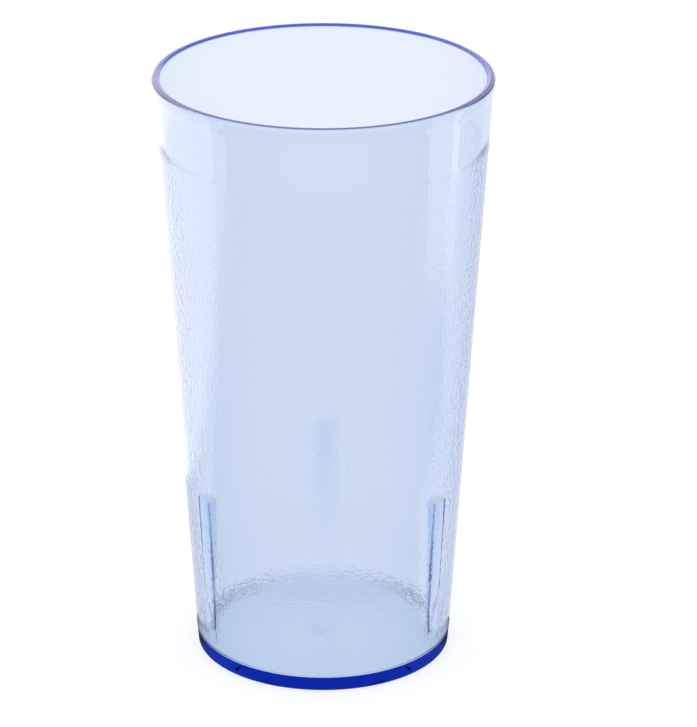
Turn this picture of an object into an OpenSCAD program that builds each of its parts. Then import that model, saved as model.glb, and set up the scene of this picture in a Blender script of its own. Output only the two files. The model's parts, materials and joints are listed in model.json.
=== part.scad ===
// A stacking drinks tumbler, moulded as one piece of clear blue plastic.
// It stands mouth upwards on the XY plane, centred on the Z axis, in millimetres.
// The wall is smooth inside. Outside it is pebbled between two smooth bands,
// one to drink from and one at the foot, and three lugs inside hold a nested tumbler clear.

/* [Overall] */
// Height from the table to the top of the lip
height = 149; // [110:1:190]
// Outer diameter of the smooth wall where it reaches the lip's height
mouth_d = 82; // [74:0.5:96]
// Outer diameter of the smooth wall where it reaches the table
foot_d = 63; // [58:0.5:70]

/* [Wall and floor] */
// Thickness of the side wall, square to its face
wall = 1.8; // [1.3:0.05:2.6]
// Height of the inside floor above the table
floor_z = 2.9; // [2:0.1:6]
// Radius of the hollow corner between the inside floor and the wall
corner_r = 1.2; // [0.4:0.1:4]
// Radius of the rounding round the foot
foot_edge_r = 0.4; // [0.2:0.1:1.2]

/* [Lip] */
// Thickness of the lip, which is rounded over its whole top
lip_t = 2.05; // [1.9:0.05:3]
// Height of the thicker rim, from the top of the lip down
lip_h = 4; // [3:0.1:8]
// Height over which the wall thickens to the lip's thickness
lip_blend_h = 1.2; // [0.4:0.1:1.8]

/* [Surface bands] */
// Height of the smooth band to drink from, from the top of the lip down
drink_band_h = 15.7; // [9:0.1:30]
// Height of the smooth band at the foot
foot_band_h = 3.9; // [2:0.1:10]
// How far the pebbled wall between the bands stands proud of them
grip_proud = 0.1; // [0.05:0.01:0.4]
// Height over which the pebbled wall runs out into each band
grip_blend_h = 0.6; // [0.3:0.1:1.5]

/* [Underside] */
// Diameter of the shallow dish inside the foot ring
dish_d = 54; // [30:0.5:58]
// Depth of the dish at its middle
dish_depth = 0.6; // [0.4:0.1:1.2]
// Diameter of the round gate mark at the middle of the dish
gate_d = 4.4; // [2:0.1:10]
// How far the gate mark stands out of the dish
gate_h = 0.3; // [0.1:0.05:0.5]

/* [Stacking lugs] */
// Number of lugs, evenly spaced round the inside
lug_count = 3; // [3:1:6]
// Bearing of the first lug from the X axis, in degrees
lug_bearing = 90; // [0:1:120]
// Height of the lugs' flat tops above the table
lug_z = 45; // [25:0.5:80]
// Width of a lug round the wall
lug_w = 4.8; // [3:0.1:8]
// How far a lug's top reaches in from the wall
lug_reach = 2.35; // [1:0.05:3.5]
// Radius of the rounding on a lug's two upright edges
lug_edge_r = 0.8; // [0.2:0.1:1.4]
// Radius of the hollow fillets where a lug's sides meet the wall
lug_root_r = 0.5; // [0.3:0.1:0.8]

/* [Hidden] */
$fn = 96;

// Slope of the wall, and the radii of its two faces at a height
taper = atan2((mouth_d - foot_d) / 2, height);
function outer_r(z) = (foot_d + (mouth_d - foot_d) * z / height) / 2;
function inner_r(z) = outer_r(z) - wall / cos(taper);
function lip_outer_r(z) = inner_r(z) + lip_t / cos(taper);
function mid_r(z) = (outer_r(z) + inner_r(z)) / 2;

// Centres of the rounded lip, foot edge and inside corner, each touching the wall's face
lip_cz = height - lip_t / 2;
lip_cr = inner_r(lip_cz) + lip_t / 2 / cos(taper);
foot_cr = outer_r(foot_edge_r) - foot_edge_r / cos(taper);
corner_cz = floor_z + corner_r;
corner_cr = inner_r(corner_cz) - corner_r / cos(taper);

// Radius of the dish's hollow face, and facets enough to keep so flat an arc true
dish_r = (pow(dish_d / 2, 2) + pow(dish_depth, 2)) / 2 / dish_depth;
dish_facets = 2880;

// Heights where the outside changes
grip_top_z = height - drink_band_h;
grip_head_z = grip_top_z - grip_blend_h;
grip_foot_z = foot_band_h + grip_blend_h;
lip_foot_z = height - lip_h;
lip_full_z = lip_foot_z + lip_blend_h;

// A lug's inner face is upright, so the lug dies out in the sloping wall below it
lug_face_r = inner_r(lug_z) - lug_reach;
lug_back_r = outer_r(lug_z);
lug_foot_z = floor_z / 2;
lug_side_r = lug_face_r + lug_edge_r;

// The root fillets' axes lean with the wall: distance of an axis from the tumbler's middle
function root_x(z) = sqrt(pow(inner_r(z) - lug_root_r, 2) - pow(lug_w / 2 + lug_root_r, 2));
root_lean = atan2(root_x(lug_z) - root_x(lug_foot_z), lug_z - lug_foot_z);

// How far a cut runs past the face that it opens, and a root fillet into its lug
past = 1;
root_lap = 0.1;

// The point on a circle's rim where the wall's face touches it: side 1 is outwards, -1 inwards
function touch(r, z, radius, side) = [
    r + side * radius * cos(taper),
    z - side * radius * sin(taper)
];

// Half section of the tumbler as if it were filled to the lip
module outer_section() {
    polygon([
        [0, 0],
        [foot_cr, 0],
        touch(foot_cr, foot_edge_r, foot_edge_r, 1),
        [outer_r(foot_band_h), foot_band_h],
        [outer_r(grip_foot_z) + grip_proud, grip_foot_z],
        [outer_r(grip_head_z) + grip_proud, grip_head_z],
        [outer_r(grip_top_z), grip_top_z],
        [outer_r(lip_foot_z), lip_foot_z],
        [lip_outer_r(lip_full_z), lip_full_z],
        touch(lip_cr, lip_cz, lip_t / 2, 1),
        touch(lip_cr, lip_cz, lip_t / 2, -1),
        [0, touch(lip_cr, lip_cz, lip_t / 2, -1)[1]]
    ]);
    translate([foot_cr, foot_edge_r]) circle(foot_edge_r);
}

// Half section of the space inside
module hollow_section() {
    polygon([
        [0, floor_z],
        [corner_cr, floor_z],
        touch(corner_cr, corner_cz, corner_r, 1),
        [inner_r(height + past), height + past],
        [0, height + past]
    ]);
    translate([corner_cr, corner_cz]) circle(corner_r);
}

// Half section of the dish, less the gate mark left standing in it
module dish_section() {
    difference() {
        intersection() {
            translate([0, dish_depth - dish_r]) circle(dish_r, $fn = dish_facets);
            translate([0, -past]) square([dish_d / 2, dish_depth + past]);
        }
        translate([0, dish_depth - gate_h]) square([gate_d / 2, gate_h + past]);
    }
}

// Wall, floor, foot ring and lip, turned in one piece
module shell() {
    rotate_extrude() {
        difference() {
            outer_section();
            hollow_section();
            dish_section();
        }
        translate([lip_cr, lip_cz]) circle(d = lip_t);
    }
}

// Plan of one lug on the X axis, with its two inner edges rounded
module lug_plan() {
    edge_y = lug_w / 2 - lug_edge_r;
    translate([lug_face_r, -edge_y]) square([lug_back_r - lug_face_r, 2 * edge_y]);
    translate([lug_face_r + lug_edge_r, -lug_w / 2])
        square([lug_back_r - lug_face_r - lug_edge_r, lug_w]);
    for (side = [-1, 1])
        translate([lug_face_r + lug_edge_r, side * edge_y]) circle(lug_edge_r);
}

// The corner between a lug's side and the wall, filled out to the hollow of its fillet
module lug_root(side) {
    length = lug_z - lug_foot_z;
    bar_y = side > 0 ? -lug_root_r - root_lap : 0;
    difference() {
        intersection() {
            translate([root_x(lug_foot_z), side * (lug_w / 2 + lug_root_r), lug_foot_z])
                rotate([0, root_lean, 0])
                    translate([0, bar_y, -past])
                        cube([2 * lug_root_r, lug_root_r + root_lap, length + 2 * past]);
            translate([lug_side_r, -lug_w, lug_foot_z])
                cube([lug_back_r - lug_side_r, 2 * lug_w, length]);
        }
        translate([root_x(lug_foot_z), side * (lug_w / 2 + lug_root_r), lug_foot_z])
            rotate([0, root_lean, 0])
                translate([0, 0, -2 * past])
                    cylinder(r = lug_root_r, h = length + 4 * past);
    }
}

// The lugs, trimmed to the middle of the wall that carries them
module lugs() {
    intersection() {
        for (i = [0 : lug_count - 1])
            rotate(lug_bearing + i * 360 / lug_count) {
                translate([0, 0, lug_foot_z])
                    linear_extrude(height = lug_z - lug_foot_z) lug_plan();
                lug_root(1);
                lug_root(-1);
            }
        rotate_extrude() polygon([
            [0, lug_foot_z],
            [mid_r(lug_foot_z), lug_foot_z],
            [mid_r(lug_z), lug_z],
            [0, lug_z]
        ]);
    }
}

module tumbler() {
    color("cornflowerblue", 0.5) {
        shell();
        lugs();
    }
}

tumbler();
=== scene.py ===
"""Dresses the stacking tumbler in clear blue plastic with a pebbled wall, on a pale studio floor."""

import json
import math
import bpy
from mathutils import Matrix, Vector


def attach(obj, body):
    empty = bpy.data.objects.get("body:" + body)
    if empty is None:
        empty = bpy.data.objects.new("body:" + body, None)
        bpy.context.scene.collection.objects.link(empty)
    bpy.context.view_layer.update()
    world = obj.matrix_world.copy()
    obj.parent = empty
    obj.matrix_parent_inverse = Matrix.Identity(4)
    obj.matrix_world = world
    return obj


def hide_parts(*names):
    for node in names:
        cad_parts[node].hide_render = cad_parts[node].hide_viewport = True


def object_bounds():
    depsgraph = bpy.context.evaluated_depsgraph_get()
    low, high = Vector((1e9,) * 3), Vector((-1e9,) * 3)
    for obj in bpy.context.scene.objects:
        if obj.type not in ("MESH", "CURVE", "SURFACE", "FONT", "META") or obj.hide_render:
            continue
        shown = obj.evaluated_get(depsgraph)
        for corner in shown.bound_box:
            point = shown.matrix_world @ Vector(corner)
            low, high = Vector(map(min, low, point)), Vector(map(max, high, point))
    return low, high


bl_info = {
    "name": "Pebbled Tumbler",
    "version": (1, 0, 0),
    "blender": (4, 5, 0),
    "location": "3D View > Sidebar > Tumbler",
    "description": "Models a stacking tumbler in clear blue plastic and sets a pale studio round it",
    "category": "Add Mesh",
}

import bmesh
import bpy
from mathutils import Vector

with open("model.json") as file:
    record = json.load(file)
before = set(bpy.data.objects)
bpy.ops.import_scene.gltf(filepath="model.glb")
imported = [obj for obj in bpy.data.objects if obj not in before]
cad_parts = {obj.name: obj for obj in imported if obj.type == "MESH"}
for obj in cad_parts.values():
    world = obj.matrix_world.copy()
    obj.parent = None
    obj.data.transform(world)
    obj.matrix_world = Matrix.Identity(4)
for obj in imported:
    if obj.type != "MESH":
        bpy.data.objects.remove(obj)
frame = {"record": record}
CAD_LOW, CAD_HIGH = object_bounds()
MOUNTS = {mount["name"]: Vector(mount["pos_m"]) for mount in frame["record"]["mounts"]}


class TumblerSizes(bpy.types.PropertyGroup):
    """Sizes of the moulded tumbler"""

    height: bpy.props.FloatProperty(
        name="Height", description="From the table to the top of the lip",
        default=CAD_HIGH.z, min=0.11, max=0.19, unit="LENGTH")
    mouth_d: bpy.props.FloatProperty(
        name="Mouth", description="Outer diameter of the smooth wall where it reaches the lip's height",
        default=0.082, min=0.074, max=0.096, unit="LENGTH")
    foot_d: bpy.props.FloatProperty(
        name="Foot", description="Outer diameter of the smooth wall where it reaches the table",
        default=0.063, min=0.058, max=0.07, unit="LENGTH")
    wall: bpy.props.FloatProperty(
        name="Wall", description="Thickness of the side wall",
        default=0.0018, min=0.0013, max=0.0026, unit="LENGTH")
    floor_z: bpy.props.FloatProperty(
        name="Inside floor", description="Height of the inside floor above the table",
        default=0.0029, min=0.002, max=0.006, unit="LENGTH")
    corner_r: bpy.props.FloatProperty(
        name="Inside corner", description="Radius between the inside floor and the wall",
        default=0.0012, min=0.0004, max=0.004, unit="LENGTH")
    foot_edge_r: bpy.props.FloatProperty(
        name="Foot edge", description="Radius of the rounding round the foot",
        default=0.0004, min=0.0002, max=0.0012, unit="LENGTH")
    lip_t: bpy.props.FloatProperty(
        name="Lip", description="Thickness of the rounded lip",
        default=0.00205, min=0.0019, max=0.003, unit="LENGTH")
    lip_h: bpy.props.FloatProperty(
        name="Lip height", description="Height of the thicker rim under the top of the lip",
        default=0.004, min=0.003, max=0.008, unit="LENGTH")
    lip_blend_h: bpy.props.FloatProperty(
        name="Lip blend", description="Height over which the wall thickens to the lip",
        default=0.0012, min=0.0004, max=0.0018, unit="LENGTH")
    drink_band_h: bpy.props.FloatProperty(
        name="Drinking band", description="Height of the smooth band under the top of the lip",
        default=0.0157, min=0.009, max=0.03, unit="LENGTH")
    foot_band_h: bpy.props.FloatProperty(
        name="Foot band", description="Height of the smooth band at the foot",
        default=0.0039, min=0.002, max=0.01, unit="LENGTH")
    grip_proud: bpy.props.FloatProperty(
        name="Grip", description="How far the pebbled wall stands proud of the smooth bands",
        default=0.0001, min=0.00005, max=0.0004, unit="LENGTH")
    grip_blend_h: bpy.props.FloatProperty(
        name="Grip blend", description="Height over which the pebbled wall rises from a smooth band",
        default=0.0006, min=0.0003, max=0.0015, unit="LENGTH")
    dish_d: bpy.props.FloatProperty(
        name="Dish", description="Diameter of the dished underside, inside the foot ring",
        default=0.054, min=0.03, max=0.058, unit="LENGTH")
    dish_depth: bpy.props.FloatProperty(
        name="Dish depth", description="Depth of the dish at its middle",
        default=0.0006, min=0.0004, max=0.0012, unit="LENGTH")
    gate_d: bpy.props.FloatProperty(
        name="Gate mark", description="Diameter of the round gate mark in the dish",
        default=0.0044, min=0.002, max=0.01, unit="LENGTH")
    gate_h: bpy.props.FloatProperty(
        name="Gate height", description="How far the gate mark stands out of the dish",
        default=0.0003, min=0.0001, max=0.0005, unit="LENGTH")
    lug_z: bpy.props.FloatProperty(
        name="Lug tops", description="Height of the lugs' flat tops above the table",
        default=MOUNTS["stack_seat"].z, min=0.025, max=0.08, unit="LENGTH")
    lug_w: bpy.props.FloatProperty(
        name="Lug width", description="Width of a lug round the wall",
        default=0.0048, min=0.003, max=0.008, unit="LENGTH")
    lug_reach: bpy.props.FloatProperty(
        name="Lug reach", description="How far a lug's top reaches in from the wall",
        default=0.00235, min=0.001, max=0.0035, unit="LENGTH")
    lug_edge_r: bpy.props.FloatProperty(
        name="Lug edge", description="Radius on a lug's two upright edges",
        default=0.0008, min=0.0002, max=0.0014, unit="LENGTH")
    lug_root_r: bpy.props.FloatProperty(
        name="Lug root fillet", description="Radius of the hollow fillets where a lug's sides meet the wall",
        default=0.0005, min=0.0003, max=0.0008, unit="LENGTH")


class PebbleFinish(bpy.types.PropertyGroup):
    """Relief of the outside wall"""

    size: bpy.props.FloatProperty(
        name="Pebble size", description="Width of one pebble",
        default=0.0019, min=0.001, max=0.005, unit="LENGTH")
    relief: bpy.props.FloatProperty(
        name="Pebble relief", description="Height from the valleys to the tops of the pebbles",
        default=0.00006, min=0.0, max=0.0006, unit="LENGTH")
    fade: bpy.props.FloatProperty(
        name="Fade", description="Height over which the pebbles rise at the edge of a smooth band",
        default=0.0012, min=0.0004, max=0.005, unit="LENGTH")
    grain: bpy.props.FloatProperty(
        name="Grain size", description="Width of the fine grain on the pebbles",
        default=0.0008, min=0.0002, max=0.003, unit="LENGTH")
    grain_relief: bpy.props.FloatProperty(
        name="Grain relief", description="Height of the fine grain on the pebbles",
        default=0.00008, min=0.0, max=0.001, unit="LENGTH")


class PlasticLook(bpy.types.PropertyGroup):
    """Colour and gloss of the plastic"""

    tint: bpy.props.FloatVectorProperty(
        name="Tint", description="Light that the plastic lets through deep inside",
        size=3, default=(0.0, 0.4, 0.86), min=0.0, max=1.0, subtype="COLOR")
    depth: bpy.props.FloatProperty(
        name="Tint depth", description="How strongly a metre of the plastic is tinted",
        default=100.0, min=0.0, max=1000.0)
    surface: bpy.props.FloatVectorProperty(
        name="Surface", description="Light that the plastic's surface lets through",
        size=3, default=(0.965, 0.956, 0.972), min=0.0, max=1.0, subtype="COLOR")
    # Painted glow: these dark blue colours stand in for light that the wall guides up to the lip
    painted_glow: bpy.props.FloatVectorProperty(
        name="Lip glow", description="Light that the wall guides up to the top of the lip",
        size=3, default=(0.1, 0.12, 0.4), min=0.0, max=1.0, subtype="COLOR")
    painted_flank_glow: bpy.props.FloatVectorProperty(
        name="Inner lip glow", description="Light that comes out of the lip's inner flank",
        size=3, default=(0.01, 0.06, 0.6), min=0.0, max=1.0, subtype="COLOR")
    painted_glow_share: bpy.props.FloatProperty(
        name="Lip glow share", description="How much of the lip shows that light",
        default=0.85, min=0.0, max=1.0, subtype="FACTOR")
    matt: bpy.props.FloatVectorProperty(
        name="Lug top", description="Pale look of the lugs' tops, which are a little matt",
        size=3, default=(0.9, 0.93, 0.98), min=0.0, max=1.0, subtype="COLOR")
    matt_share: bpy.props.FloatProperty(
        name="Lug top share", description="How matt the lugs' tops are",
        default=0.8, min=0.0, max=1.0, subtype="FACTOR")
    clearness: bpy.props.FloatProperty(
        name="Clearness", description="Share of the light that isn't scattered by haze at the surface",
        default=1.0, min=0.5, max=1.0, subtype="FACTOR")
    ior: bpy.props.FloatProperty(
        name="Index", description="Refractive index of the plastic",
        default=1.57, min=1.3, max=1.8)


class StudioLook(bpy.types.PropertyGroup):
    """Camera and light of the pale studio"""

    azimuth: bpy.props.FloatProperty(
        name="Azimuth", description="Turn of the camera round the tumbler",
        default=math.radians(1.2), subtype="ANGLE")
    elevation: bpy.props.FloatProperty(
        name="Elevation", description="Height of the camera over the tumbler's middle",
        default=math.radians(22.35), subtype="ANGLE")
    distance: bpy.props.FloatProperty(
        name="Distance", description="From the camera to the tumbler's middle",
        default=0.9735, min=0.3, max=5.0, unit="LENGTH")
    lens: bpy.props.FloatProperty(
        name="Lens", description="Focal length in millimetres on a 36 mm sensor",
        default=195.8, min=20.0, max=400.0)
    lit: bpy.props.FloatProperty(
        name="Light", description="Strength of the even light that lies on the tumbler",
        default=1.0, min=0.0, max=3.0)


def taper(s):
    """Slope of the side wall from upright"""
    return math.atan2((s.mouth_d - s.foot_d) / 2, s.height)


def outer_r(s, z):
    """Outer radius of the smooth wall at a height"""
    return (s.foot_d + (s.mouth_d - s.foot_d) * z / s.height) / 2


def inner_r(s, z):
    """Inner radius of the wall at a height"""
    return outer_r(s, z) - s.wall / math.cos(taper(s))


def mid_r(s, z):
    """Radius of the middle of the wall at a height"""
    return (outer_r(s, z) + inner_r(s, z)) / 2


def arc(r, z, radius, start, end, steps):
    """Points of an arc round (r, z), between two angles counted from outwards to up"""
    turn = (end - start) / steps
    angles = [start + turn * i for i in range(steps + 1)]
    return [(r + radius * math.cos(a), z + radius * math.sin(a)) for a in angles]


# Width of the slope from the gate mark's face to the dish
GATE_ROUND = 0.0003
# Distance of the rings that keep the smooth shading true beside each change of slope
SUPPORT = 0.0005
# Points nearer than this are merged, and steps of it keep a lug's points apart
SLIVER = 0.000001
# How far a point may lie off a height and still count as level with it
ROOM = 0.00001
DISH_STEPS = 6
LIP_STEPS = 28
EDGE_STEPS = 8
SEGMENTS = 400
# Cuts made one after the other in the pebbled wall, which leave 160 rows
GRIP_CUTS = (1, 79)
# An upright edge shorter than this isn't cut
GRIP_ROW_LEAST = 0.005
# Edges that turn more than this look sharp
SHARP_ANGLE = math.radians(30)


def outline(s):
    """Radius and height of each ring, from the gate mark round the outside and the lip to the inside floor"""
    slope = taper(s)
    foot_cr = outer_r(s, s.foot_edge_r) - s.foot_edge_r / math.cos(slope)
    lip_cz = s.height - s.lip_t / 2
    lip_cr = inner_r(s, lip_cz) + s.lip_t / 2 / math.cos(slope)
    corner_cz = s.floor_z + s.corner_r
    corner_cr = inner_r(s, corner_cz) - s.corner_r / math.cos(slope)
    grip_low, grip_high = grip_span(s)
    lip_foot = s.height - s.lip_h
    lip_full = lip_foot + s.lip_blend_h
    lip_swell = (s.lip_t - s.wall) / math.cos(slope)
    quarter = math.pi / 2

    gate_edge = s.gate_d / 2 + GATE_ROUND
    dish_step = (s.dish_d / 2 - gate_edge) / DISH_STEPS
    rings = [(s.gate_d / 2, s.dish_depth - s.gate_h)]
    rings += [(r, dish_z(s, r)) for r in (gate_edge + dish_step * i for i in range(DISH_STEPS + 1))]
    rings += [(s.dish_d / 2 + SUPPORT, 0), (foot_cr - SUPPORT, 0)]
    rings += arc(foot_cr, s.foot_edge_r, s.foot_edge_r, -quarter, -slope, EDGE_STEPS)
    band_foot = s.foot_edge_r + SUPPORT
    rings += [(outer_r(s, z), z) for z in (band_foot, s.foot_band_h - SUPPORT, s.foot_band_h)]
    rings += [(outer_r(s, grip_low) + s.grip_proud, grip_low)]
    rings += [(outer_r(s, grip_high) + s.grip_proud, grip_high)]
    grip_top = s.height - s.drink_band_h
    rings += [(outer_r(s, z), z) for z in (grip_top, grip_top + SUPPORT, lip_foot - SUPPORT, lip_foot)]
    rings += [(outer_r(s, z) + lip_swell, z) for z in (lip_full, lip_full + SUPPORT)]
    rings += arc(lip_cr, lip_cz, s.lip_t / 2, -slope, math.pi - slope, LIP_STEPS)
    corner = arc(corner_cr, corner_cz, s.corner_r, -slope, -quarter, EDGE_STEPS)
    lip_end = rings[-1][1] - SUPPORT
    wall_end = corner[0][1] + SUPPORT
    lug_top = s.lug_z + SUPPORT
    rings += [(inner_r(s, z), z) for z in (lip_end, lug_top, wall_end)]
    rings += corner
    rings += [(corner_cr - SUPPORT, s.floor_z)]
    return rings


def grip_span(s):
    """Lowest and highest height of the pebbled wall at its full size"""
    return s.foot_band_h + s.grip_blend_h, s.height - s.drink_band_h - s.grip_blend_h


def dish_z(s, r):
    """Height of the dished underside at a radius, on a large sphere"""
    return s.dish_depth * (1 - (r / (s.dish_d / 2)) ** 2)


def ramp(value, start, end):
    """From 0 at one end of a range to 1 at the other, and flat beyond both"""
    return min(1.0, max(0.0, (value - start) / (end - start)))


def to_object_mode():
    """Leaves edit mode, and leaves nothing selected"""
    if bpy.context.object and bpy.context.object.mode != "OBJECT":
        bpy.ops.object.mode_set(mode="OBJECT")
    bpy.ops.object.select_all(action="DESELECT")


def make_active(piece):
    """Selects one object alone"""
    to_object_mode()
    piece.select_set(True)
    bpy.context.view_layer.objects.active = piece


def edit(piece):
    """Opens an object in edit mode with nothing selected"""
    make_active(piece)
    bpy.ops.object.mode_set(mode="EDIT")
    bpy.ops.mesh.select_all(action="DESELECT")


def select(piece, kind, wanted):
    """Selects the vertices, edges or faces for which wanted is true, in edit mode"""
    bpy.ops.mesh.select_mode(type=kind)
    bpy.ops.mesh.select_all(action="DESELECT")
    mesh = bmesh.from_edit_mesh(piece.data)
    parts = {"VERT": mesh.verts, "EDGE": mesh.edges, "FACE": mesh.faces}[kind]
    chosen = [part for part in parts if wanted(part)]
    if not chosen:
        raise RuntimeError(f"nothing to select on {piece.name}")
    for part in chosen:
        part.select_set(True)
    mesh.select_flush_mode()
    bmesh.update_edit_mesh(piece.data)


def apply_modifier(piece, kind, **settings):
    """Adds a modifier with its settings and applies it"""
    make_active(piece)
    modifier = piece.modifiers.new(kind.lower(), kind)
    for name, value in settings.items():
        setattr(modifier, name, value)
    bpy.ops.object.modifier_apply(modifier=modifier.name)


def radius_of(point):
    """Distance of a point from the upright axis"""
    return math.hypot(point.x, point.y)


def turn_shell(s):
    """Turns the shell ring by ring: gate mark, underside, outside, lip, inside wall and floor"""
    rings = outline(s)
    first_r, first_z = rings[0]
    to_object_mode()
    bpy.ops.mesh.primitive_circle_add(
        vertices=SEGMENTS, radius=first_r, fill_type="TRIFAN", location=(0, 0, first_z))
    shell = bpy.context.object
    shell.name = "moulded_tumbler"
    bpy.ops.object.transform_apply(location=True, rotation=True, scale=True)
    edit(shell)
    select(shell, "EDGE", lambda edge: edge.is_boundary)
    for (from_r, from_z), (to_r, to_z) in zip(rings, rings[1:]):
        bpy.ops.mesh.extrude_edges_move(TRANSFORM_OT_translate={"value": (0, 0, to_z - from_z)})
        grow = to_r / from_r
        bpy.ops.transform.resize(value=(grow, grow, 1), center_override=(0, 0, 0))
    bpy.ops.mesh.extrude_edges_move()
    bpy.ops.mesh.merge(type="CENTER")
    bpy.ops.mesh.select_all(action="SELECT")
    bpy.ops.mesh.remove_doubles(threshold=SLIVER)
    bpy.ops.mesh.normals_make_consistent(inside=False)
    to_object_mode()
    return shell


LUGS = 3
LUG_EDGE_STEPS = 5
LUG_ROOT_STEPS = 5
# A root fillet ends just before it would lie flat against the wall, so that the two cross cleanly
LUG_ROOT_TURN = math.radians(82)
# Cuts up a lug, which let it follow the wall's slope
LUG_LEVELS = 20


def lug_plan(s, z):
    """Outline of the back lug cut level at a height, with its rounded edges and root fillets"""
    face = inner_r(s, s.lug_z) - s.lug_reach
    side = face + s.lug_edge_r
    edge_y = s.lug_w / 2 - s.lug_edge_r
    root_y = s.lug_w / 2 + s.lug_root_r
    root = math.sqrt((inner_r(s, z) - s.lug_root_r) ** 2 - root_y ** 2)
    half = []
    for i in range(LUG_EDGE_STEPS + 1):
        turn = math.pi / 2 * i / LUG_EDGE_STEPS
        half.append((edge_y + s.lug_edge_r * math.sin(turn), side - s.lug_edge_r * math.cos(turn)))
    for i in range(LUG_ROOT_STEPS + 1):
        turn = LUG_ROOT_TURN * i / LUG_ROOT_STEPS
        out = max(root + s.lug_root_r * math.sin(turn), side)
        half.append((root_y - s.lug_root_r * math.cos(turn), out + i * SLIVER))
    half.append((half[-1][0], max(mid_r(s, z), side + SUPPORT)))
    return half + [(-x, y) for x, y in reversed(half)]


def block_lugs(s):
    """The stacking lugs as blocks that run into the middle of the wall, the first one at the back"""
    foot_z = s.floor_z / 2
    count = len(lug_plan(s, s.lug_z))
    to_object_mode()
    bpy.ops.mesh.primitive_cylinder_add(
        vertices=count, radius=s.lug_w / 2, depth=s.lug_z - foot_z, end_fill_type="NGON",
        location=(0, 0, (foot_z + s.lug_z) / 2))
    lugs = bpy.context.object
    lugs.name = "lug_blocks"
    bpy.ops.object.transform_apply(location=True, rotation=True, scale=True)
    edit(lugs)
    select(lugs, "EDGE", lambda e: abs(e.verts[0].co.z - e.verts[1].co.z) > SUPPORT)
    bpy.ops.mesh.subdivide(number_cuts=LUG_LEVELS)
    mesh = bmesh.from_edit_mesh(lugs.data)
    for v in mesh.verts:
        place = round(math.atan2(v.co.x, v.co.y) / (2 * math.pi) * count) % count
        v.co.x, v.co.y = lug_plan(s, v.co.z)[place]
    bmesh.update_edit_mesh(lugs.data)
    bpy.ops.mesh.select_all(action="SELECT")
    for _ in range(LUGS - 1):
        bpy.ops.mesh.duplicate()
        bpy.ops.transform.rotate(value=2 * math.pi / LUGS, orient_axis="Z", center_override=(0, 0, 0))
    bpy.ops.mesh.select_all(action="SELECT")
    bpy.ops.mesh.normals_make_consistent(inside=False)
    to_object_mode()
    return lugs


def weld_lugs(shell, s):
    """Joins the lugs to the inside wall as one solid"""
    lugs = block_lugs(s)
    apply_modifier(shell, "BOOLEAN", operation="UNION", solver="EXACT", object=lugs)
    bpy.data.objects.remove(lugs)


def stands_proud(s, point):
    """True for a point of the pebbled wall's outside"""
    return radius_of(point) > outer_r(s, point.z) + s.grip_proud / 2


def cut_grip_rows(shell, s):
    """Divides the pebbled wall into rows fine enough for its relief"""
    low, high = grip_span(s)
    edit(shell)
    for cuts in GRIP_CUTS:
        select(shell, "EDGE", lambda e: is_grip_upright(s, e, low, high))
        bpy.ops.mesh.subdivide(number_cuts=cuts)
    to_object_mode()


def is_grip_upright(s, e, low, high):
    """True for an upright edge of the pebbled wall, between its two ends"""
    foot, head = sorted(v.co.z for v in e.verts)
    if foot < low - ROOM or head > high + ROOM or head - foot < GRIP_ROW_LEAST:
        return False
    return all(stands_proud(s, v.co) for v in e.verts)


def write_marks(shell, name, domain, values):
    """Stores one value for each vertex or face of a piece, for its material to read"""
    marks = shell.data.attributes.new(name, "FLOAT", domain)
    marks.data.foreach_set("value", values)


# The relief is the second nearest cell less the nearest, which leaves rounded pebbles with sharp valleys
CELL_WEIGHTS = (-1.0, 1.0)
CELL_CONTRAST = 2.0
CELL_MIDDLE = 0.35


def pebble(shell, s, finish):
    """Raises the pebbles on the outside between the two smooth bands"""
    low, high = grip_span(s)
    cover = shell.vertex_groups.new(name="grip")
    shares = []
    for v in shell.data.vertices:
        from_edge = min(v.co.z - low, high - v.co.z)
        share = ramp(from_edge, 0, finish.fade) if stands_proud(s, v.co) else 0.0
        shares.append(share)
        cover.add([v.index], share, "REPLACE")
    relief = bpy.data.textures.new("pebbles", "VORONOI")
    relief.noise_scale = finish.size
    relief.weight_1, relief.weight_2 = CELL_WEIGHTS
    relief.noise_intensity = CELL_CONTRAST
    apply_modifier(
        shell, "DISPLACE", texture=relief, texture_coords="LOCAL", direction="NORMAL",
        strength=finish.relief, mid_level=CELL_MIDDLE, vertex_group="grip")
    write_marks(shell, "grip_cover", "POINT", shares)


# Degrees that the lip's face leans inwards where its painted glow begins, ends and turns bluer
PAINTED_GLOW_OUTSIDE = (-50.0, -30.0)
PAINTED_GLOW_INSIDE = (55.0, 75.0)
PAINTED_GLOW_TURN = (-20.0, 15.0)


def mark_painted_lip_glow(shell, s):
    """Marks where the lip's glow is painted, in place of light guided up the wall: the top of the lip, and
    its bluer inner flank
    """
    middle_z = s.height - s.lip_t / 2
    middle_r = inner_r(s, middle_z) + s.lip_t / 2 / math.cos(taper(s))
    covers = []
    flanks = []
    for v in shell.data.vertices:
        lean = math.degrees(math.atan2(middle_r - radius_of(v.co), v.co.z - middle_z))
        covers.append(ramp(lean, *PAINTED_GLOW_OUTSIDE) * (1 - ramp(lean, *PAINTED_GLOW_INSIDE)))
        flanks.append(ramp(lean, *PAINTED_GLOW_TURN))
    write_marks(shell, "painted_glow_cover", "POINT", covers)
    write_marks(shell, "painted_glow_flank", "POINT", flanks)


def mark_lug_tops(shell, s):
    """Marks the lugs' flat tops, which the mould leaves a little matt"""
    values = []
    for face in shell.data.polygons:
        level = abs(face.center.z - s.lug_z) < ROOM
        values.append(1.0 if level and face.normal.z > 0 else 0.0)
    write_marks(shell, "lug_top", "FACE", values)


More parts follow.
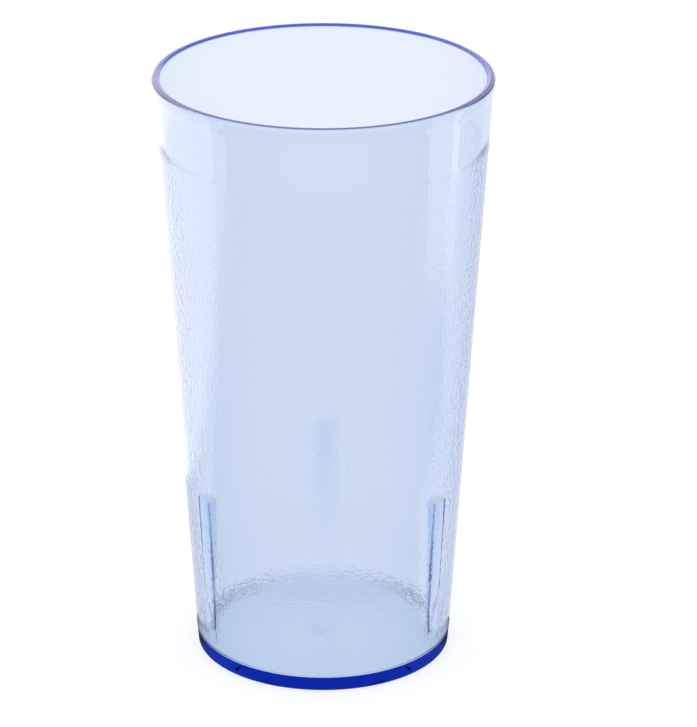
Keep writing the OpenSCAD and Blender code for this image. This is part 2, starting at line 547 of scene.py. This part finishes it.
def mix_by(tree, attribute, kind, first, second):
    """Blends two values or node outputs by an attribute of the piece"""
    mark = tree.nodes.new("ShaderNodeAttribute")
    mark.attribute_name = attribute
    blend = tree.nodes.new("ShaderNodeMix")
    blend.data_type = kind
    tree.links.new(mark.outputs["Fac"], blend.inputs["Factor"])
    ends = [socket for socket in blend.inputs if socket.name in ("A", "B") and socket.enabled]
    for socket, end in zip(ends, (first, second)):
        if isinstance(end, bpy.types.NodeSocket):
            tree.links.new(end, socket)
        else:
            socket.default_value = end
    return next(socket for socket in blend.outputs if socket.enabled)


GRAIN_DETAIL = 2.0


def blue_plastic(look, finish):
    """Clear blue plastic: polished inside and on the bands, with a fine grain on the pebbles"""
    material = bpy.data.materials.new("blue_clear_plastic")
    material.use_nodes = True
    tree = material.node_tree
    tree.nodes.clear()
    output = tree.nodes.new("ShaderNodeOutputMaterial")
    skin = tree.nodes.new("ShaderNodeBsdfPrincipled")
    skin.inputs["IOR"].default_value = look.ior
    skin.inputs["Roughness"].default_value = 0.0
    tree.links.new(skin.outputs["BSDF"], output.inputs["Surface"])
    # Painted glow: on the lip the clear plastic gives way to a dark blue diffuse colour that stands in for
    # light guided up the wall
    painted_glow = mix_by(tree, "painted_glow_flank", "RGBA", (*look.painted_glow, 1), (*look.painted_flank_glow, 1))
    lip = mix_by(tree, "painted_glow_cover", "RGBA", (*look.surface, 1), painted_glow)
    skin_paint = mix_by(tree, "lug_top", "RGBA", lip, (*look.matt, 1))
    tree.links.new(skin_paint, skin.inputs["Base Color"])
    at_lip = mix_by(tree, "painted_glow_cover", "FLOAT", look.clearness, look.clearness - look.painted_glow_share)
    clear = mix_by(tree, "lug_top", "FLOAT", at_lip, look.clearness - look.matt_share)
    tree.links.new(clear, skin.inputs["Transmission Weight"])

    place = tree.nodes.new("ShaderNodeTexCoord")
    cover = tree.nodes.new("ShaderNodeAttribute")
    cover.attribute_name = "grip_cover"
    grain = tree.nodes.new("ShaderNodeTexNoise")
    grain.inputs["Scale"].default_value = 1 / finish.grain
    grain.inputs["Detail"].default_value = GRAIN_DETAIL
    tree.links.new(place.outputs["Object"], grain.inputs["Vector"])
    masked = tree.nodes.new("ShaderNodeMath")
    masked.operation = "MULTIPLY"
    tree.links.new(grain.outputs["Fac"], masked.inputs[0])
    tree.links.new(cover.outputs["Fac"], masked.inputs[1])
    bump = tree.nodes.new("ShaderNodeBump")
    bump.inputs["Distance"].default_value = finish.grain_relief
    tree.links.new(masked.outputs[0], bump.inputs["Height"])
    tree.links.new(bump.outputs["Normal"], skin.inputs["Normal"])

    depth = tree.nodes.new("ShaderNodeVolumeAbsorption")
    depth.inputs["Color"].default_value = (*look.tint, 1)
    depth.inputs["Density"].default_value = look.depth
    tree.links.new(depth.outputs["Volume"], output.inputs["Volume"])
    return material


class TUMBLER_OT_mould(bpy.types.Operator):
    """Model the tumbler in one piece, with its lugs, pebbles and plastic"""

    bl_idname = "tumbler.mould"
    bl_label = "Mould Tumbler"

    def execute(self, context):
        s = context.scene.tumbler_sizes
        finish = context.scene.tumbler_pebbles
        shell = turn_shell(s)
        weld_lugs(shell, s)
        cut_grip_rows(shell, s)
        pebble(shell, s, finish)
        mark_painted_lip_glow(shell, s)
        mark_lug_tops(shell, s)
        make_active(shell)
        bpy.ops.object.shade_smooth_by_angle(angle=SHARP_ANGLE)
        shell.data.materials.clear()
        shell.data.materials.append(blue_plastic(context.scene.tumbler_plastic, finish))
        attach(shell, "root")
        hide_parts("tumbler")
        return {"FINISHED"}


def white_world(studio):
    """An even sky that looks white, and lights the tumbler at a plain level"""
    world = bpy.data.worlds.new("pale_studio")
    bpy.context.scene.world = world
    world.use_nodes = True
    tree = world.node_tree
    tree.nodes.clear()
    output = tree.nodes.new("ShaderNodeOutputWorld")
    sky = tree.nodes.new("ShaderNodeBackground")
    sky.inputs["Color"].default_value = (1, 1, 1, 1)
    sky.inputs["Strength"].default_value = studio.lit
    tree.links.new(sky.outputs["Background"], output.inputs["Surface"])


FLOOR_SIZE = 6.0
# How far the floor lies under the foot
FLOOR_GAP = 0.00005
# Own light and paint of the floor: seen by the camera, in the plastic's gloss and through it, and unseen
FLOOR_SEEN = (0.55, 0.5)
FLOOR_GLOSSY = (0.9, 0.12)
FLOOR_THROUGH = (0.93, 0.12)
FLOOR_UNSEEN = (0.0, 0.85)


def floor_paint(tree, own_light, paint):
    """White paint with some light of its own"""
    shade = tree.nodes.new("ShaderNodeBsdfDiffuse")
    shade.inputs["Color"].default_value = (paint, paint, paint, 1)
    own = tree.nodes.new("ShaderNodeEmission")
    own.inputs["Strength"].default_value = own_light
    both = tree.nodes.new("ShaderNodeAddShader")
    tree.links.new(shade.outputs["BSDF"], both.inputs[0])
    tree.links.new(own.outputs["Emission"], both.inputs[1])
    return both.outputs["Shader"]


def white_floor():
    """A pale floor that looks white, and keeps the tumbler's soft shadow"""
    to_object_mode()
    bpy.ops.mesh.primitive_plane_add(size=FLOOR_SIZE, location=(0, 0, -FLOOR_GAP))
    floor = bpy.context.object
    floor.name = "studio_floor"
    material = bpy.data.materials.new("pale_floor")
    material.use_nodes = True
    tree = material.node_tree
    tree.nodes.clear()
    output = tree.nodes.new("ShaderNodeOutputMaterial")
    path = tree.nodes.new("ShaderNodeLightPath")
    shader = floor_paint(tree, *FLOOR_UNSEEN)
    for ray, values in (("Is Glossy Ray", FLOOR_GLOSSY), ("Is Transmission Ray", FLOOR_THROUGH),
                        ("Is Camera Ray", FLOOR_SEEN)):
        mix = tree.nodes.new("ShaderNodeMixShader")
        tree.links.new(path.outputs[ray], mix.inputs["Fac"])
        tree.links.new(shader, mix.inputs[1])
        tree.links.new(floor_paint(tree, *values), mix.inputs[2])
        shader = mix.outputs["Shader"]
    tree.links.new(shader, output.inputs["Surface"])
    floor.data.materials.append(material)


# Outline of a dark sheet on the floor, painted shade that only the plastic's outer gloss shows as a dark
# reflection
SHADE_SHEET_OUTLINE = (
    (-0.9, -0.4), (-0.29, -0.13), (-0.21, -0.03), (-0.13, 0.0), (-0.06, -0.01), (-0.042, -0.004),
    (-0.036, 0.01), (0.036, 0.01), (0.042, -0.01), (0.06, -0.02), (0.11, -0.02), (0.17, 0.03),
    (0.9, 0.08), (0.9, -0.9), (-0.9, -0.9))
# Faint own light of the dark sheet, which sets how dark the painted reflection is
SHADE_SHEET_LEVEL = 0.06


def painted_shade_sheet():
    """A dark sheet in front of the tumbler, painted shade for the reflections on its outside alone"""
    to_object_mode()
    bpy.ops.mesh.primitive_circle_add(
        vertices=len(SHADE_SHEET_OUTLINE), fill_type="NGON", location=(0, 0, -FLOOR_GAP / 2))
    # table holds the dark sheet of painted shade
    table = bpy.context.object
    table.name = "painted_shade_sheet"
    for corner, place in zip(table.data.vertices, SHADE_SHEET_OUTLINE, strict=True):
        corner.co = (*place, 0)
    material = bpy.data.materials.new("painted_shade_sheet")
    material.use_nodes = True
    tree = material.node_tree
    tree.nodes.clear()
    output = tree.nodes.new("ShaderNodeOutputMaterial")
    own = tree.nodes.new("ShaderNodeEmission")
    own.inputs["Strength"].default_value = SHADE_SHEET_LEVEL
    tree.links.new(own.outputs["Emission"], output.inputs["Surface"])
    table.data.materials.append(material)
    table.visible_camera = False
    table.visible_diffuse = False
    table.visible_transmission = False
    table.visible_volume_scatter = False
    table.visible_shadow = False


LAMP_COLOR = (1.0, 0.86, 0.76)
# Place, aim, width, height and brightness of each lamp, as its reflection in the photographed wall gives them
LEFT_LAMP = ((-0.12, 0.05, 0.14), (0.0, -0.12, 0.14), 0.42, 0.28, 0.95)
RIGHT_LAMP = ((0.24, -0.01, 0.14), (0.0, -0.01, 0.14), 0.12, 0.28, 1.3)


def soft_lamp(name, place, aim, width, height, brightness):
    """A soft rectangular lamp that looks at a point, seen in the plastic's gloss alone"""
    data = bpy.data.lights.new(name, "AREA")
    data.shape = "RECTANGLE"
    data.size = width
    data.size_y = height
    data.energy = brightness * width * height * math.pi
    data.color = LAMP_COLOR
    lamp = bpy.data.objects.new(name, data)
    bpy.context.scene.collection.objects.link(lamp)
    lamp.location = place
    lamp.rotation_euler = (Vector(aim) - Vector(place)).to_track_quat("-Z", "Y").to_euler()
    lamp.visible_camera = False
    lamp.visible_transmission = False
    lamp.visible_diffuse = False


PHOTO_WIDTH = 697
PHOTO_HEIGHT = 727
# Pixel of the photograph where the middle of the tumbler's axis lies
AXIS_PIXEL = (322.75, 361.3)
SENSOR = 36.0


def photo_camera(studio, middle):
    """The camera, where the tumbler's outline in the photograph puts it"""
    data = bpy.data.cameras.new("photo_camera")
    data.lens = studio.lens
    data.sensor_width = SENSOR
    data.shift_x = ((PHOTO_WIDTH - 1) / 2 - AXIS_PIXEL[0]) / PHOTO_HEIGHT
    data.shift_y = -((PHOTO_HEIGHT - 1) / 2 - AXIS_PIXEL[1]) / PHOTO_HEIGHT
    camera = bpy.data.objects.new("photo_camera", data)
    bpy.context.scene.collection.objects.link(camera)
    back = Vector((
        math.sin(studio.azimuth) * math.cos(studio.elevation),
        -math.cos(studio.azimuth) * math.cos(studio.elevation),
        math.sin(studio.elevation),
    ))
    camera.location = middle + back * studio.distance
    camera.rotation_euler = (-back).to_track_quat("-Z", "Y").to_euler()
    bpy.context.scene.camera = camera


# A ray of light may meet this many faces of the clear plastic
WALL_BOUNCES = 64


class TUMBLER_OT_stage(bpy.types.Operator):
    """Set the camera, the pale floor and the soft light"""

    bl_idname = "tumbler.stage"
    bl_label = "Set Stage"

    def execute(self, context):
        scene = context.scene
        studio = scene.tumbler_studio
        middle = Vector((0, 0, CAD_HIGH.z / 2))
        scene.view_settings.view_transform = "Standard"
        scene.cycles.max_bounces = WALL_BOUNCES
        scene.cycles.transmission_bounces = WALL_BOUNCES
        scene.cycles.glossy_bounces = WALL_BOUNCES
        scene.cycles.blur_glossy = 0.0
        white_world(studio)
        white_floor()
        # A dark sheet seen only in the outer gloss: painted shade in the reflections
        painted_shade_sheet()
        soft_lamp("left_softbox", *LEFT_LAMP)
        soft_lamp("right_softbox", *RIGHT_LAMP)
        photo_camera(studio, middle)
        return {"FINISHED"}


class TUMBLER_PT_panel(bpy.types.Panel):
    """Sizes, finish and studio of the tumbler"""

    bl_idname = "TUMBLER_PT_panel"
    bl_label = "Tumbler"
    bl_space_type = "VIEW_3D"
    bl_region_type = "UI"
    bl_category = "Tumbler"

    def draw(self, context):
        for group in ("tumbler_sizes", "tumbler_pebbles", "tumbler_plastic", "tumbler_studio"):
            box = self.layout.box()
            values = getattr(context.scene, group)
            for name in values.__annotations__:
                box.prop(values, name)
        self.layout.operator(TUMBLER_OT_mould.bl_idname)
        self.layout.operator(TUMBLER_OT_stage.bl_idname)


GROUPS = {
    "tumbler_sizes": TumblerSizes,
    "tumbler_pebbles": PebbleFinish,
    "tumbler_plastic": PlasticLook,
    "tumbler_studio": StudioLook,
}
CLASSES = (*GROUPS.values(), TUMBLER_OT_mould, TUMBLER_OT_stage, TUMBLER_PT_panel)


def register():
    """Adds the classes, and their values to the scene"""
    for cls in CLASSES:
        bpy.utils.register_class(cls)
    for name, group in GROUPS.items():
        setattr(bpy.types.Scene, name, bpy.props.PointerProperty(type=group))


def unregister():
    """Takes the classes and their values away again"""
    for name in GROUPS:
        delattr(bpy.types.Scene, name)
    for cls in reversed(CLASSES):
        bpy.utils.unregister_class(cls)


def main():
    """Models the tumbler and sets the stage"""
    register()
    bpy.ops.tumbler.mould()
    bpy.ops.tumbler.stage()


if __name__ == "__main__":
    main()
